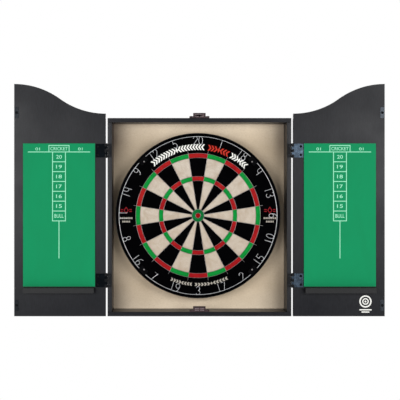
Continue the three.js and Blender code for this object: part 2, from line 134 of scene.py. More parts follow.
band_low, band_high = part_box("steel_band")
BOARD_AXIS = ((band_low.x + band_high.x) / 2, (band_low.z + band_high.z) / 2)
BOARD_RADIUS = half_size("steel_band")
BOARD_FACE = band_low.y
BOARD_BACK = band_high.y
SISAL_RADIUS = half_size("sisal_face")
BACKING_RADIUS = half_size("board_backing")
BACKING_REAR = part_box("board_backing")[1].y
BACK_HALF = half_size("back_panel")
BACK_RISE = half_size("back_panel", axis=2)
BACK_MIDDLE = middle_of("back_panel").y
RING_DEPTH = middle_of("number_ring").y
WIRE_DEPTH = BOARD_FACE - 0.0001 - SPIDER_WIRE


# ---- materials

def srgb(red, green, blue):
    """A linear colour from display values of 0 to 255."""
    def linear(value):
        share = value / 255
        return share / 12.92 if share <= 0.04045 else ((share + 0.055) / 1.055) ** 2.4
    return (linear(red), linear(green), linear(blue), 1.0)


class Finish:
    """A procedural material in the making: one Principled shader and the nodes that feed it."""

    def __init__(self, name, roughness, metallic=0.0, **sockets):
        self.material = bpy.data.materials.new(name)
        self.material.use_nodes = True
        tree = self.material.node_tree
        self.nodes, self.links = tree.nodes, tree.links
        self.shader = self.nodes["Principled BSDF"]
        self.shader.inputs["Roughness"].default_value = roughness
        self.shader.inputs["Metallic"].default_value = metallic
        for socket, value in sockets.items():
            self.shader.inputs[socket.replace("_", " ")].default_value = value
        self.coordinates = self.nodes.new("ShaderNodeTexCoord").outputs["Object"]

    def tint(self, share, low, high):
        """Feeds the base colour with two display colours mixed by a share."""
        self.feed("Base Color", self.mix(share, srgb(*low), srgb(*high)))

    def _plug(self, socket, value):
        """Links a socket, or sets it where the value is a plain number or colour."""
        if isinstance(value, bpy.types.NodeSocket):
            self.links.new(value, socket)
        else:
            socket.default_value = value

    def feed(self, socket, value):
        self._plug(self.shader.inputs[socket], value)

    def _node(self, kind, inputs, **settings):
        """A new node with its settings made and its inputs linked or set."""
        node = self.nodes.new(f"ShaderNode{kind}")
        for setting, value in settings.items():
            setattr(node, setting, value)
        for socket, value in inputs.items():
            self._plug(node.inputs[socket], value)
        return node

    def stretched(self, stretch):
        """Object coordinates with each axis drawn out by its own amount."""
        inputs = {0: self.coordinates, 1: stretch}
        return self._node("VectorMath", inputs, operation="DIVIDE").outputs[0]

    def noise(self, size, detail=3.0, stretch=(1, 1, 1), distortion=0.0):
        """Soft noise whose features are about size metres across."""
        inputs = {"Vector": self.stretched(stretch), "Scale": 1 / size, "Detail": detail,
                  "Distortion": distortion}
        return self._node("TexNoise", inputs).outputs["Fac"]

    def cells(self, size, stretch=(1, 1, 1), output="Distance"):
        """Cells about size metres across: the distance in each, or one colour for each."""
        inputs = {"Vector": self.stretched(stretch), "Scale": 1 / size}
        return self._node("TexVoronoi", inputs).outputs[output]

    def place(self, axis):
        """Where a point lies along an axis, in metres from the object's origin."""
        return self._node("SeparateXYZ", {0: self.coordinates}).outputs[axis]

    def away(self, axis):
        """How far a point lies from the object's origin along an axis, to either side."""
        return self._node("Math", {0: self.place(axis)}, operation="ABSOLUTE").outputs[0]

    def ramp(self, share, stops):
        """Colours along a ramp, from (place, colour) stops."""
        node = self.nodes.new("ShaderNodeValToRGB")
        elements = node.color_ramp.elements
        for element, (place, colour) in zip(elements, (stops[0], stops[-1])):
            element.position = place
            element.color = colour
        for place, colour in stops[1:-1]:
            elements.new(place).color = colour
        self._plug(node.inputs["Fac"], share)
        return node.outputs["Color"]

    def levels(self, share, low, high, out_low=0.0, out_high=1.0):
        """A number spread from low..high to out_low..out_high, and held there."""
        inputs = {"Value": share, "From Min": low, "From Max": high, "To Min": out_low, "To Max": out_high}
        return self._node("MapRange", inputs).outputs["Result"]

    def mix(self, share, low, high):
        """Two colours mixed by a share."""
        node = self._node("Mix", {"Factor": share}, data_type="RGBA")
        colours = [socket for socket in node.inputs if socket.type == "RGBA"]
        self._plug(colours[0], low)
        self._plug(colours[1], high)
        return next(socket for socket in node.outputs if socket.type == "RGBA")

    def sum(self, first, second, weight):
        """first + weight * second."""
        inputs = {0: second, 1: weight, 2: first}
        return self._node("Math", inputs, operation="MULTIPLY_ADD").outputs[0]

    def bump(self, height, distance):
        """Relief of up to distance metres on the whole surface."""
        self.feed("Normal", self._node("Bump", {"Distance": distance, "Height": height}).outputs["Normal"])


def black_foil(name, along, specular=0.17, edge=False):
    """Black foil on fibreboard, with faint pores drawn out along one axis; edge is its rubbed corner."""
    finish = Finish(name, 0.36, Specular_IOR_Level=specular)
    stretch = tuple(14 if axis == along else 1 for axis in "xyz")
    pores = finish.noise(0.0011, detail=2, stretch=stretch)
    haze = finish.noise(0.09)
    dark, light = ((10, 10, 12), (18, 18, 20)) if edge else ((18, 19, 23), (26, 27, 32))
    colour = finish.mix(finish.levels(pores, 0.35, 0.65), srgb(*dark), srgb(*light))
    if edge:
        rub = finish.levels(finish.noise(0.006, detail=4), 0.64, 0.74)
        colour = finish.mix(rub, colour, srgb(72, 66, 58))
    finish.feed("Base Color", colour)
    finish.feed("Roughness", finish.levels(haze, 0.3, 0.7, 0.3, 0.4))
    finish.bump(finish.sum(pores, haze, 0.2), 0.00005)
    return finish.material


def bare_fibreboard():
    """Raw fibreboard: pale brown, with fibres and specks, painted light near its top and bottom, and a
    painted shade at its front's two sides.
    """
    finish = Finish("bare_fibreboard", 0.88)
    drift = finish.noise(0.12, detail=4)
    fibres = finish.noise(0.0016, detail=5, stretch=(2.4, 1, 1), distortion=1.2)
    specks = finish.cells(0.007)
    # Painted light: paler towards the top and bottom, where the top and bottom panels shade it.
    paler = finish.levels(finish.away("Z"), 0.19, 0.25, 0.0, 0.5)
    base = finish.ramp(finish.sum(paler, drift, 0.7), [
        (0.2, srgb(203, 185, 159)), (0.5, srgb(217, 199, 173)), (1.0, srgb(240, 223, 198)),
    ])
    fibred = finish.mix(finish.levels(fibres, 0.3, 0.7, 0.0, 0.3), base, srgb(168, 143, 112))
    specked = finish.mix(finish.levels(specks, 0.02, 0.16, 0.5, 0.0), fibred, srgb(128, 100, 73))
    across = finish.sum(finish.place("X"), finish.noise(0.03), 0.01)
    side = finish.ramp(finish.levels(across, -BACK_HALF, BACK_HALF), SHADE_ACROSS)
    height = finish.ramp(finish.levels(finish.place("Z"), -BACK_RISE, BACK_RISE), SHADE_UP)
    shade = finish.mix(height, srgb(0, 0, 0), side)
    in_front = finish.levels(finish.place("Y"), BACK_MIDDLE, BACK_MIDDLE - SHADE_EDGE)
    shown = finish.mix(in_front, srgb(0, 0, 0), shade)
    finish.feed("Base Color", finish.mix(shown, specked, srgb(54, 34, 30)))
    finish.bump(fibres, 0.00022)
    return finish.material


def score_surface():
    """Green writing surface: satin, evenly coated, with a faint smear of wiped chalk."""
    finish = Finish("score_surface", 0.6, Specular_IOR_Level=0.08)
    smear = finish.noise(0.05, detail=5, stretch=(1, 1, 2.5), distortion=0.6)
    coat = finish.noise(0.0009, detail=2)
    finish.feed("Base Color", finish.ramp(smear, [(0.3, srgb(10, 133, 84)), (0.75, srgb(15, 138, 88))]))
    finish.feed("Roughness", finish.levels(smear, 0.3, 0.7, 0.55, 0.66))
    finish.bump(coat, 0.00003)
    return finish.material


def print_ink(name, colour):
    """A screen-printed ink: nearly even, thinner in places."""
    finish = Finish(name, 0.6, Specular_IOR_Level=0.1)
    thin = finish.levels(finish.noise(0.0014, detail=3), 0.35, 0.7, 0.0, 0.35)
    paler = tuple(value * 0.86 for value in colour)
    finish.tint(thin, colour, paler)
    return finish.material


def sisal(name, colour, shade):
    """Sisal cut across its fibres: fine speckle, bundles of slightly different tone, and a painted shade
    lower down.
    """
    finish = Finish(name, 0.95, Specular_IOR_Level=0.02)
    dark = srgb(*shade)
    ends = finish.noise(0.0011, detail=4)
    bundles = finish.cells(0.011, stretch=(1, 6, 1), output="Color")
    clouds = finish.noise(0.022, detail=5, distortion=0.8)
    speckled = finish.mix(finish.levels(ends, 0.34, 0.66), dark, srgb(*colour))
    toned = finish.mix(finish.levels(bundles, 0.0, 1.0, 0.0, 0.25), speckled, dark)
    clouded = finish.mix(finish.levels(clouds, 0.42, 0.66, 0.0, 0.75), toned, dark)
    # Painted shade: the face grows darker towards its bottom.
    lower_painted_shade = finish.levels(finish.place("Z"), 0.12, -0.2, 0.0, 0.55)
    finish.feed("Base Color", finish.mix(lower_painted_shade, clouded, dark))
    finish.bump(ends, 0.0003)
    return finish.material


def coated_steel(name, colour, roughness, metallic=0.85, specular=0.5):
    """Dark plated or lacquered steel with fine drawn marks and rubbed patches."""
    finish = Finish(name, roughness, metallic, Specular_IOR_Level=specular)
    marks = finish.noise(0.0012, detail=4, stretch=(1, 1, 9))
    rub = finish.noise(0.009, detail=3)
    paler = tuple(value * 1.6 + 4 for value in colour)
    rubbed = finish.levels(rub, 0.45, 0.75, 0.0, 0.6)
    finish.tint(rubbed, colour, paler)
    finish.feed("Roughness", finish.levels(marks, 0.3, 0.7, roughness - 0.08, roughness + 0.1))
    finish.bump(marks, 0.00003)
    return finish.material


def bright_steel(name, colour, roughness, metallic=1.0):
    """Bare or galvanised steel, lightly spangled."""
    finish = Finish(name, roughness, metallic)
    spangle = finish.cells(0.0045, output="Color")
    grain = finish.noise(0.0008, detail=3)
    duller = tuple(value * 0.8 for value in colour)
    spangled = finish.levels(spangle, 0.2, 0.9, 0.0, 0.7)
    finish.tint(spangled, colour, duller)
    finish.feed("Roughness", finish.levels(grain, 0.3, 0.7, roughness - 0.06, roughness + 0.1))
    finish.bump(grain, 0.00002)
    return finish.material


def moulded(name, colour, roughness, specular=0.5):
    """A moulded plastic or rubber with a fine eroded texture."""
    finish = Finish(name, roughness, Specular_IOR_Level=specular)
    grain = finish.noise(0.0007, detail=3)
    flow = finish.noise(0.012, detail=2)
    darker = tuple(value * 0.82 for value in colour)
    finish.tint(finish.levels(flow, 0.3, 0.7), darker, colour)
    finish.feed("Roughness", finish.levels(grain, 0.3, 0.7, roughness - 0.06, roughness + 0.06))
    finish.bump(grain, 0.00008)
    return finish.material


def chipboard():
    """Pressed wood flakes of mixed tone."""
    finish = Finish("chipboard", 0.85)
    flakes = finish.cells(0.007, stretch=(1.8, 1, 0.8), output="Color")
    dust = finish.noise(0.0015, detail=4)
    base = finish.ramp(flakes, [
        (0.0, srgb(132, 98, 62)), (0.5, srgb(170, 134, 92)), (1.0, srgb(205, 176, 132)),
    ])
    dusty = finish.levels(dust, 0.4, 0.7, 0.0, 0.4)
    finish.feed("Base Color", finish.mix(dusty, base, srgb(112, 82, 52)))
    finish.bump(dust, 0.0002)
    return finish.material


def ceramic():
    """The brown ferrite of a catch's magnet."""
    finish = Finish("magnet_ferrite", 0.7)
    specks = finish.noise(0.0006, detail=3)
    finish.tint(specks, (66, 50, 52), (90, 70, 72))
    finish.bump(specks, 0.00008)
    return finish.material


def shares(*pairs):
    """Stops of a grey ramp from (place, share) pairs."""
    return [(place, (share, share, share, 1)) for place, share in pairs]


# A shade painted on the back panel's front: how dark it is from the left side to the right, and how much
# of it shows from the bottom to the top. It stands in for the shade that the case throws on the panel.
SHADE_ACROSS = shares((0, 0.9), (0.04, 0.58), (0.12, 0.28), (0.3, 0), (0.8, 0), (0.94, 0.22), (1, 0.6))
SHADE_UP = shares((0, 0.66), (0.1, 0.66), (0.3, 0.15), (0.7, 0.15), (0.9, 1), (1, 1))
# How far in front of the panel's mid-depth that shade is full.
SHADE_EDGE = 0.001

FOIL = {
    axis: (black_foil(f"black_foil_{axis}", axis), black_foil(f"foil_edge_{axis}", axis, edge=True))
    for axis in "xz"
}
SIDE_FOIL = (black_foil("side_foil", "z", specular=0.28), FOIL["z"][1])
BARE_BOARD = bare_fibreboard()
SCORE_GREEN = score_surface()
SCORE_INK = print_ink("score_ink", (158, 232, 196))
WHITE_INK = print_ink("white_ink", (238, 238, 232))
SMALL_INK = print_ink("small_ink", (168, 162, 152))
RED_INK = print_ink("red_ink", (188, 48, 34))
DIM_RED_INK = print_ink("dim_red_ink", (134, 22, 30))
BEDS = tuple(sisal(f"sisal_{name}", colour, shade) for name, colour, shade in (
    ("cream", (219, 213, 202), (176, 159, 140)), ("black", (4, 4, 5), (1, 1, 2)),
    ("red", (188, 44, 38), (138, 18, 26)), ("green", (26, 158, 70), (14, 122, 46)),
    ("bull_green", (26, 128, 66), (14, 92, 42)), ("bull_red", (176, 26, 26), (120, 14, 12)),
))
# The same hinge steel on both doors; the left door's leaves take a near-black colour, a painted shade for
# their darker reflection.
HINGE_STEEL = {
    "left_door": coated_steel("hinge_steel_painted_shade", (4, 8, 13), 0.5, metallic=0.0, specular=0.03),
    "right_door": coated_steel("blued_hinge", (54, 64, 75), 0.3, metallic=1.0),
}
# The cabinet leaves and pins take a near-black colour: a painted shade for the dark reflection they show.
LEAF_PAINTED_SHADE = coated_steel("hinge_leaf_painted_shade", (11, 12, 15), 0.55, metallic=0.0, specular=0.15)
SCREW_STEEL = coated_steel("screw_steel", (30, 32, 36), 0.4)
BLACK_SCREW = coated_steel("black_screw_steel", (3, 6, 10), 0.5, metallic=0.0, specular=0.1)
RAIL_COAT = moulded("rail_coat", (20, 21, 23), 0.5, specular=0.3)
ZINC = bright_steel("zinc", (176, 178, 180), 0.36)
# The same strike steel on both doors; the left door's is darker, a painted shade.
STRIKE_STEEL = {
    "left_door": bright_steel("strike_steel_painted_shade", (32, 34, 37), 0.34),
    "right_door": bright_steel("strike_steel", (56, 60, 65), 0.34),
}
WIRE = bright_steel("ring_wire", (224, 226, 230), 0.3, metallic=0.5)
SPIDER_STEEL = bright_steel("spider_wire", (150, 146, 146), 0.34)
POLE_STEEL = bright_steel("pole_steel", (168, 152, 156), 0.34)
FERRITE = ceramic()
CATCH_BROWN = moulded("catch_plastic", (56, 36, 40), 0.5, specular=0.3)
BAND_COAT = coated_steel("band_lacquer", (10, 10, 11), 0.46, metallic=0.1, specular=0.2)
CHIPBOARD = chipboard()
RUBBER = moulded("foot_rubber", (26, 26, 27), 0.85)
CLIP_BLACK = moulded("clip_plastic", (2, 2, 4), 0.7, specular=0.05)


# ---- mesh tools

def round_angles(steps):
    """The angles of equal steps once round, in radians."""
    return [2 * math.pi * step / steps for step in range(steps)]


def neighbours(items):
    """Each item with the next one, and the last with the first."""
    return list(zip(items, items[1:] + items[:1]))


class Shape:
    """Vertices and faces gathered into one mesh, each face with the number of its material."""

    def __init__(self):
        self.vertices, self.faces, self.kinds = [], [], []

    def add(self, vertices, faces, kind=0):
        start = len(self.vertices)
        self.vertices.extend(tuple(vertex) for vertex in vertices)
        self.faces.extend(tuple(start + index for index in face) for face in faces)
        self.kinds.extend([kind] * len(faces))

    def grid(self, rows, kind=0, closed=True):
        """Quads between rows of equally many points; closed joins each row's end to its start."""
        count = len(rows[0])
        last = count if closed else count - 1
        faces = [
            (row * count + at, row * count + (at + 1) % count,
             (row + 1) * count + (at + 1) % count, (row + 1) * count + at)
            for row in range(len(rows) - 1) for at in range(last)
        ]
        self.add([point for row in rows for point in row], faces, kind)

    def turned(self, profile, centre, axis, steps):
        """A solid of revolution: (radius, height along the axis) pairs, starting and ending on the axis."""
        turn = Vector((0, 0, 1)).rotation_difference(Vector(axis)).to_matrix()
        self.grid([
            [centre + turn @ Vector((radius * math.cos(angle), radius * math.sin(angle), height))
             for angle in round_angles(steps)]
            for radius, height in profile
        ])

    def tube(self, points, radius, sides=8, closed=False):
        """A round wire along points, with rounded ends where it is open."""
        points = [Vector(point) for point in points]
        count = len(points)
        rows, side = [], None
        for at, point in enumerate(points):
            before = points[at - 1] if closed or at else point
            after = points[(at + 1) % count] if closed or at < count - 1 else point
            heading = (after - before).normalized()
            if side is None:
                side = heading.orthogonal().normalized()
                if abs(heading.y) < 0.9:
                    side = heading.cross(Vector((0, 1, 0))).normalized()
            side = (side - heading * side.dot(heading)).normalized()
            up = heading.cross(side)
            circle = [side * math.cos(angle) + up * math.sin(angle) for angle in round_angles(sides)]
            if not closed and at == 0:
                rows.append([point - heading * radius * 0.5 + spoke * radius * 0.5 for spoke in circle])
            rows.append([point + spoke * radius for spoke in circle])
            if not closed and at == count - 1:
                rows.append([point + heading * radius * 0.5 + spoke * radius * 0.5 for spoke in circle])
        if closed:
            rows.append(rows[0])
        start = len(self.vertices)
        self.grid(rows)
        if not closed:
            self.faces.append(tuple(start + index for index in reversed(range(sides))))
            self.faces.append(tuple(start + (len(rows) - 1) * sides + index for index in range(sides)))
            self.kinds.extend([0, 0])

    def plate(self, outline, rear, front, kind=0):
        """A flat piece seen from the front: an outline of (x, z) points, from y = rear to y = front."""
        count = len(outline)
        vertices = [(x, y, z) for y in (front, rear) for x, z in outline]
        sides = [(at, (at + 1) % count, count + (at + 1) % count, count + at) for at in range(count)]
        faces = [tuple(range(count)), tuple(reversed(range(count, 2 * count)))]
        self.add(vertices, faces + [tuple(reversed(face)) for face in sides], kind)

    def bar(self, left, right, lower, upper, rear, front, kind=0):
        """An upright rectangular plate."""
        self.plate([(left, lower), (right, lower), (right, upper), (left, upper)], rear, front, kind)

    def hoop(self, profile, kind=0):
        """A surface turned round the dartboard's axis, from (radius, y) pairs."""
        self.grid([circle(radius, y, STEPS_ROUND) for radius, y in profile], kind)

    def include(self, mesh, move):
        """Another mesh, moved by a matrix."""
        vertices = [move @ vertex.co for vertex in mesh.vertices]
        self.add(vertices, [tuple(polygon.vertices) for polygon in mesh.polygons])

    def mesh(self, name, crease=CREASE):
        """The finished mesh: doubles merged, faces pointing out, smooth up to the crease angle."""
        mesh = bpy.data.meshes.new(name)
        mesh.from_pydata(self.vertices, [], self.faces)
        mesh.polygons.foreach_set("material_index", self.kinds)
        work = bmesh.new()
        work.from_mesh(mesh)
        bmesh.ops.remove_doubles(work, verts=work.verts, dist=1e-7)
        bmesh.ops.recalc_face_normals(work, faces=work.faces)
        work.to_mesh(mesh)
        work.free()
        mesh.shade_smooth()
        mesh.set_sharp_from_angle(angle=math.radians(crease))
        return mesh


def new_object(name, data):
    """A new object in the scene."""
    made = bpy.data.objects.new(name, data)
    bpy.context.scene.collection.objects.link(made)
    return made


def show(name, mesh, body, replaces=(), place=Matrix()):
    """Shows a mesh as a piece that rides on a body, and hides the CAD nodes that it stands for."""
    made = new_object(name, mesh)
    made.matrix_world = place
    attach(made, body)
    if replaces:
        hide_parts(*replaces)


def piece(name, shape, body, materials, replaces=(), crease=CREASE):
    """Shows a shape as a piece made of these materials."""
    mesh = shape.mesh(name, crease)
    for material in materials:
        mesh.materials.append(material)
    show(name, mesh, body, replaces)


def dress(name, materials, bevel, segments=2):
    """Gives a CAD node its materials, and rounds its sharp edges by modifiers.

    A second material, where there is one, goes on the rounded edges.
    """
    node = frame["nodes"][name]
    mesh = node.data
    mesh.materials.clear()
    for material in materials:
        mesh.materials.append(material)
    if "custom_normal" in mesh.attributes:
        mesh.attributes.remove(mesh.attributes["custom_normal"])
    mesh.shade_smooth()
    node.modifiers.new("weld", "WELD").merge_threshold = 1e-6
    flat = node.modifiers.new("flat_faces", "DECIMATE")
    flat.decimate_type = "DISSOLVE"
    flat.angle_limit = math.radians(0.4)
    rounding = node.modifiers.new("rounding", "BEVEL")
    rounding.width = bevel
    rounding.segments = segments
    rounding.limit_method = "ANGLE"
    rounding.angle_limit = math.radians(30)
    rounding.material = len(materials) - 1 if len(materials) > 1 else -1
    node.modifiers.new("normals", "WEIGHTED_NORMAL").weight = 100
    return node


def polar(radius, degrees, depth, centre=BOARD_AXIS):
    """A point on the dartboard, or round another centre, from its distance and angle."""
    angle = math.radians(degrees)
    return Vector((centre[0] + radius * math.cos(angle), depth, centre[1] + radius * math.sin(angle)))


def circle(radius, depth, steps, centre=BOARD_AXIS):
    """Points of a circle that is seen round from the front."""
    return [polar(radius, 360 * step / steps, depth, centre) for step in range(steps)]


def word_mesh(text, width, height):
    """A line of lettering, width by height, centred on the origin in the XZ plane and facing -Y."""
    curve = bpy.data.curves.new("word", "FONT")
    curve.body = text
    curve.offset = 0.008
    curve.resolution_u = 4
    holder = bpy.data.objects.new("word", curve)
    mesh = bpy.data.meshes.new_from_object(holder)
    bpy.data.objects.remove(holder)
    bpy.data.curves.remove(curve)
    xs = [vertex.co.x for vertex in mesh.vertices]
    ys = [vertex.co.y for vertex in mesh.vertices]
    centre = Vector(((min(xs) + max(xs)) / 2, (min(ys) + max(ys)) / 2, 0))
    scale = Matrix.Diagonal((width / (max(xs) - min(xs)), height / (max(ys) - min(ys)), 1, 1))
    mesh.transform(Matrix.Rotation(math.radians(90), 4, "X") @ scale @ Matrix.Translation(-centre))
    return mesh


# ---- screws

CROSS_ARM = 0.4
CROSS_HALF = 0.13
CROSS_DEPTH = 0.7
CROSS_TAPER = 0.6
# The head from its flat top down to its seat: shares of its radius and of its height.
HEAD_PROFILE = [(0.66, 1.0), (0.84, 0.88), (0.96, 0.6), (1.0, 0.25), (0.97, 0.0)]
HEAD_STEPS = 24


def screw_mesh(name, radius, height, material):
    """A pan head with a cross recess. Its underside is at z = 0 and its top faces +Z."""
    work = bmesh.new()
    arm, half = CROSS_ARM * radius, CROSS_HALF * radius
    quarter = [(arm, -half), (arm, half), (half, half)]
    outline = []
    for turn in range(4):
        spin = Matrix.Rotation(math.radians(90 * turn), 2)
        outline.extend(spin @ Vector(point) for point in quarter)
    cross = [work.verts.new((x, y, height)) for x, y in outline]
    low = height * (1 - CROSS_DEPTH)
    floor = [work.verts.new((x * CROSS_TAPER, y * CROSS_TAPER, low)) for x, y in outline]
    rows = [
        [work.verts.new((radius * share * math.cos(angle), radius * share * math.sin(angle), height * level))
         for angle in round_angles(HEAD_STEPS)]
        for share, level in HEAD_PROFILE
    ]
    edges = [work.edges.new(pair) for loop in (cross, rows[0]) for pair in neighbours(loop)]
    bmesh.ops.triangle_fill(work, edges=edges, use_beauty=True)
    for upper, lower in zip(rows, rows[1:]):
        for (first, second), (under, after) in zip(neighbours(upper), neighbours(lower)):
            work.faces.new((first, under, after, second))
    for (first, second), (under, after) in zip(neighbours(cross), neighbours(floor)):
        work.faces.new((first, second, after, under))
    work.faces.new(rows[-1])
    work.faces.new(floor)
    bmesh.ops.recalc_face_normals(work, faces=work.faces)
    mesh = bpy.data.meshes.new(name)
    work.to_mesh(mesh)
    work.free()
    mesh.shade_smooth()
    mesh.set_sharp_from_angle(angle=math.radians(40))
    mesh.materials.append(material)
    return mesh


SCREWS = {
    kind: screw_mesh(f"{kind}_screw", radius, height, material)
    for kind, radius, height, material in (
        ("wide", 0.0037, 0.0015, BLACK_SCREW), ("black", 0.0035, 0.0013, BLACK_SCREW),
        ("zinc", 0.0031, 0.0013, ZINC), ("small", 0.0026, 0.0008, SCREW_STEEL),
    )
}
SCREW_TURN = 37
placed = {kind: 0 for kind in SCREWS}


def screw(name, kind, seat, body="cabinet", facing=(0, -1, 0), replaces=()):
    """A screw with its underside at the seat. Each next one is turned a little further."""
    turn = Matrix.Rotation(math.radians(SCREW_TURN * placed[kind]), 4, "Z")
    placed[kind] += 1
    aim = Vector((0, 0, 1)).rotation_difference(Vector(facing)).to_matrix().to_4x4()
    show(name, SCREWS[kind], body, replaces, Matrix.Translation(seat) @ aim @ turn)


# ---- case

# Where the case's screws are: shares of its depth, how far they are sunk, how far in from the ends of
# what they hold, and how thick that is where they go through it.
CASE_SCREW_PLACES = (0.8, 0.2)
PANEL_SCREW_SUNK = 0.0003
HANGER_INSET = 0.004
HANGER_SUNK = 0.0008
BRACKET_METAL = 0.0015
BRACKET_INSET = (0.006, 0.008)
CATCH_INSET = 0.0045
CATCH_FLANGE = 0.005
# Faces of a magnet whose middles are nearer than this to its mid-height are ferrite.
FERRITE_REACH = 0.0019


def case():
    """The five panels, and the screws that hold the top and bottom to the sides."""
    for side in ("left", "right"):
        dress(f"{side}_panel", SIDE_FOIL, PANEL_EDGE)
    for end in ("top", "bottom"):
        dress(f"{end}_panel", FOIL["x"], PANEL_EDGE)
    dress("back_panel", (BARE_BOARD,), 0.0003, segments=1)

    for end, facing in (("top", 1), ("bottom", -1)):
        low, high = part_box(f"{end}_panel")
        level = high.z if facing > 0 else low.z
        for side in ("left", "right"):
            x = middle_of(f"{side}_panel").x
            for place, share in enumerate(CASE_SCREW_PLACES, start=1):
                name = f"{end}_{side}_case_screw_{place}"
                seat = (x, low.y * share, level - facing * PANEL_SCREW_SUNK)
                screw(name, "small", seat, facing=(0, 0, facing))


def hangers():
    """The two keyhole plates at the back, with a screw at each end."""
    for side in ("left", "right"):
        name = f"{side}_hanger_plate"
        dress(name, (ZINC,), 0.0003)
        low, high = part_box(name)
        for end, z in (("upper", high.z - HANGER_INSET), ("lower", low.z + HANGER_INSET)):
            seat = (middle_of(name).x, high.y - HANGER_SUNK, z)
            screw(f"{side}_hanger_{end}_screw", "small", seat, facing=(0, 1, 0))


def bracket():
    """The strap that carries the dartboard, screwed through its feet."""
    dress("board_bracket", (ZINC,), 0.0004)
    low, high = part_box("board_bracket")
    across, up = BRACKET_INSET
    for side, x in (("left", low.x + across), ("right", high.x - across)):
        for end, z in (("upper", high.z - up), ("lower", low.z + up)):
            seat = (x, high.y - BRACKET_METAL, z)
            screw(f"bracket_{side}_{end}_screw", "zinc", seat)


def catch(name, base):
    """A double magnetic catch: brown housing, steel poles on both sides of each magnet, and two screws."""
    dress(f"{name}_housing", (CATCH_BROWN,), 0.0005)
    low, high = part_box(f"{name}_housing")
    for place in ("left", "right"):
        node = dress(f"{name}_magnet_{place}", (FERRITE, POLE_STEEL), 0.0002, segments=1)
        middle = middle_of(node.name).z
        for face in node.data.polygons:
            face.material_index = 0 if abs(face.center.z - middle) < FERRITE_REACH else 1
    for side, x in (("left", low.x + CATCH_INSET), ("right", high.x - CATCH_INSET)):
        seat = (x, middle_of(f"{name}_housing").y, base + CATCH_FLANGE)
        screw(f"{name}_{side}_screw", "small", seat, facing=(0, 0, 1))


# ---- doors

LEAF_THICKNESS = 0.0012
CASE_SCREW_OFFSET = 0.0087
CASE_SCREW_SUNK = 0.0006

# The round mark: its place from the door's lower outer corner, its (outer, inner) rings, the dot in its
# middle, and under it the bars, as (drop, half length), and half their height.
ROUNDEL_PLACE = (0.052, 0.040)
ROUNDEL_RINGS = ((0.0165, 0.0128), (0.0088, 0.0058))
ROUNDEL_DOT = 0.0026
ROUNDEL_BARS = ((0.0225, 0.0165), (0.0285, 0.0105))
ROUNDEL_BAR_HALF = 0.0016
ROUNDEL_STEPS = 64


def hinge(name, body):
    """One butt hinge: its two leaves and pin, and the screws in both leaves."""
    for part in ("cabinet_leaf", "pin"):
        dress(f"{name}_{part}", (LEAF_PAINTED_SHADE,), HINGE_EDGE)
    dress(f"{name}_door_leaf", (HINGE_STEEL[body],), HINGE_EDGE)
    axis = middle_of(f"{name}_pin").x
    leaf_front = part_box(f"{body}_panel")[0].y - LEAF_THICKNESS
    for place in (1, 2):
        middle = middle_of(f"{name}_screw_{place}")
        seat = Vector((middle.x, leaf_front, middle.z))
        screw(f"{name}_leaf_screw_{place}", "black", seat, body, replaces=(f"{name}_screw_{place}",))
        seat.x = axis - math.copysign(CASE_SCREW_OFFSET, axis)
        seat.y = leaf_front + CASE_SCREW_SUNK
        screw(f"{name}_case_screw_{place}", "small", seat)


def tally_print(body):
    """The scoreboard's printed lines, numbers and words as one raised layer."""
    low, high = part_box(f"{body}_scoreboard")
    middle, top = (low.x + high.x) / 2, high.z
    front = low.y - PRINT_LIFT
    edge = SCORE_LINE / 2
    column_end = SCORE_BAR_DROP + len(CELL_WORDS) * CELL_HEIGHT
    shape = Shape()

    def bar(left, right, upper, lower):
        shape.bar(middle + left, middle + right, top - lower, top - upper, low.y, front)

    def across(drop, half):
        bar(-half, half, drop - edge, drop + edge)

    def down(offset, upper, lower):
        bar(offset - edge, offset + edge, upper, lower)

    def word(text, offset, drop, width, height):
        place = Matrix.Translation((middle + offset, front, top - drop))
        shape.include(word_mesh(text, width, height), place)

    across(SCORE_BAR_DROP, SCORE_BAR_HALF)
    across(TITLE_DROP, TITLE_HALF + edge)
    for side in (-1, 1):
        down(side * TITLE_HALF, TITLE_DROP + edge, SCORE_BAR_DROP - edge)
        down(side * CELL_HALF, SCORE_BAR_DROP + edge, column_end + edge)
        word("01", side * START_OFFSET, START_DROP, *START_WORD)
    word("CRICKET", 0, TITLE_WORD_DROP, *TITLE_WORD)
    for place, text in enumerate(CELL_WORDS):
        drop = SCORE_BAR_DROP + (place + 1) * CELL_HEIGHT
        across(drop, CELL_HALF - edge)
        width = BULL_WIDTH if len(text) > 2 else NUMBER_WIDTH
        word(text, 0, drop - CELL_HEIGHT / 2, width, CELL_WORD_HEIGHT)
    down(0, column_end + edge, TALLY_DROP)
    piece(f"{body}_score_print", shape, body, (SCORE_INK,))


def roundel(body):
    """A plain target mark with two bars under it, printed low on the outer side of a door."""
    low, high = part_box(f"{body}_panel")
    centre = (high.x - ROUNDEL_PLACE[0], low.z + ROUNDEL_PLACE[1])
    front = low.y - PRINT_LIFT
    shape = Shape()
    for outer, inner in ROUNDEL_RINGS:
        shape.grid([circle(radius, y, ROUNDEL_STEPS, centre) for radius, y in
                    ((inner, low.y), (inner, front), (outer, front), (outer, low.y))])
    dot = [(point.x, point.z) for point in circle(ROUNDEL_DOT, 0, 24, centre)]
    shape.plate(dot, low.y, front)
    for drop, half in ROUNDEL_BARS:
        z = centre[1] - drop
        lower, upper = z - ROUNDEL_BAR_HALF, z + ROUNDEL_BAR_HALF
        shape.bar(centre[0] - half, centre[0] + half, lower, upper, low.y, front)
    piece(f"{body}_roundel", shape, body, (WHITE_INK,))


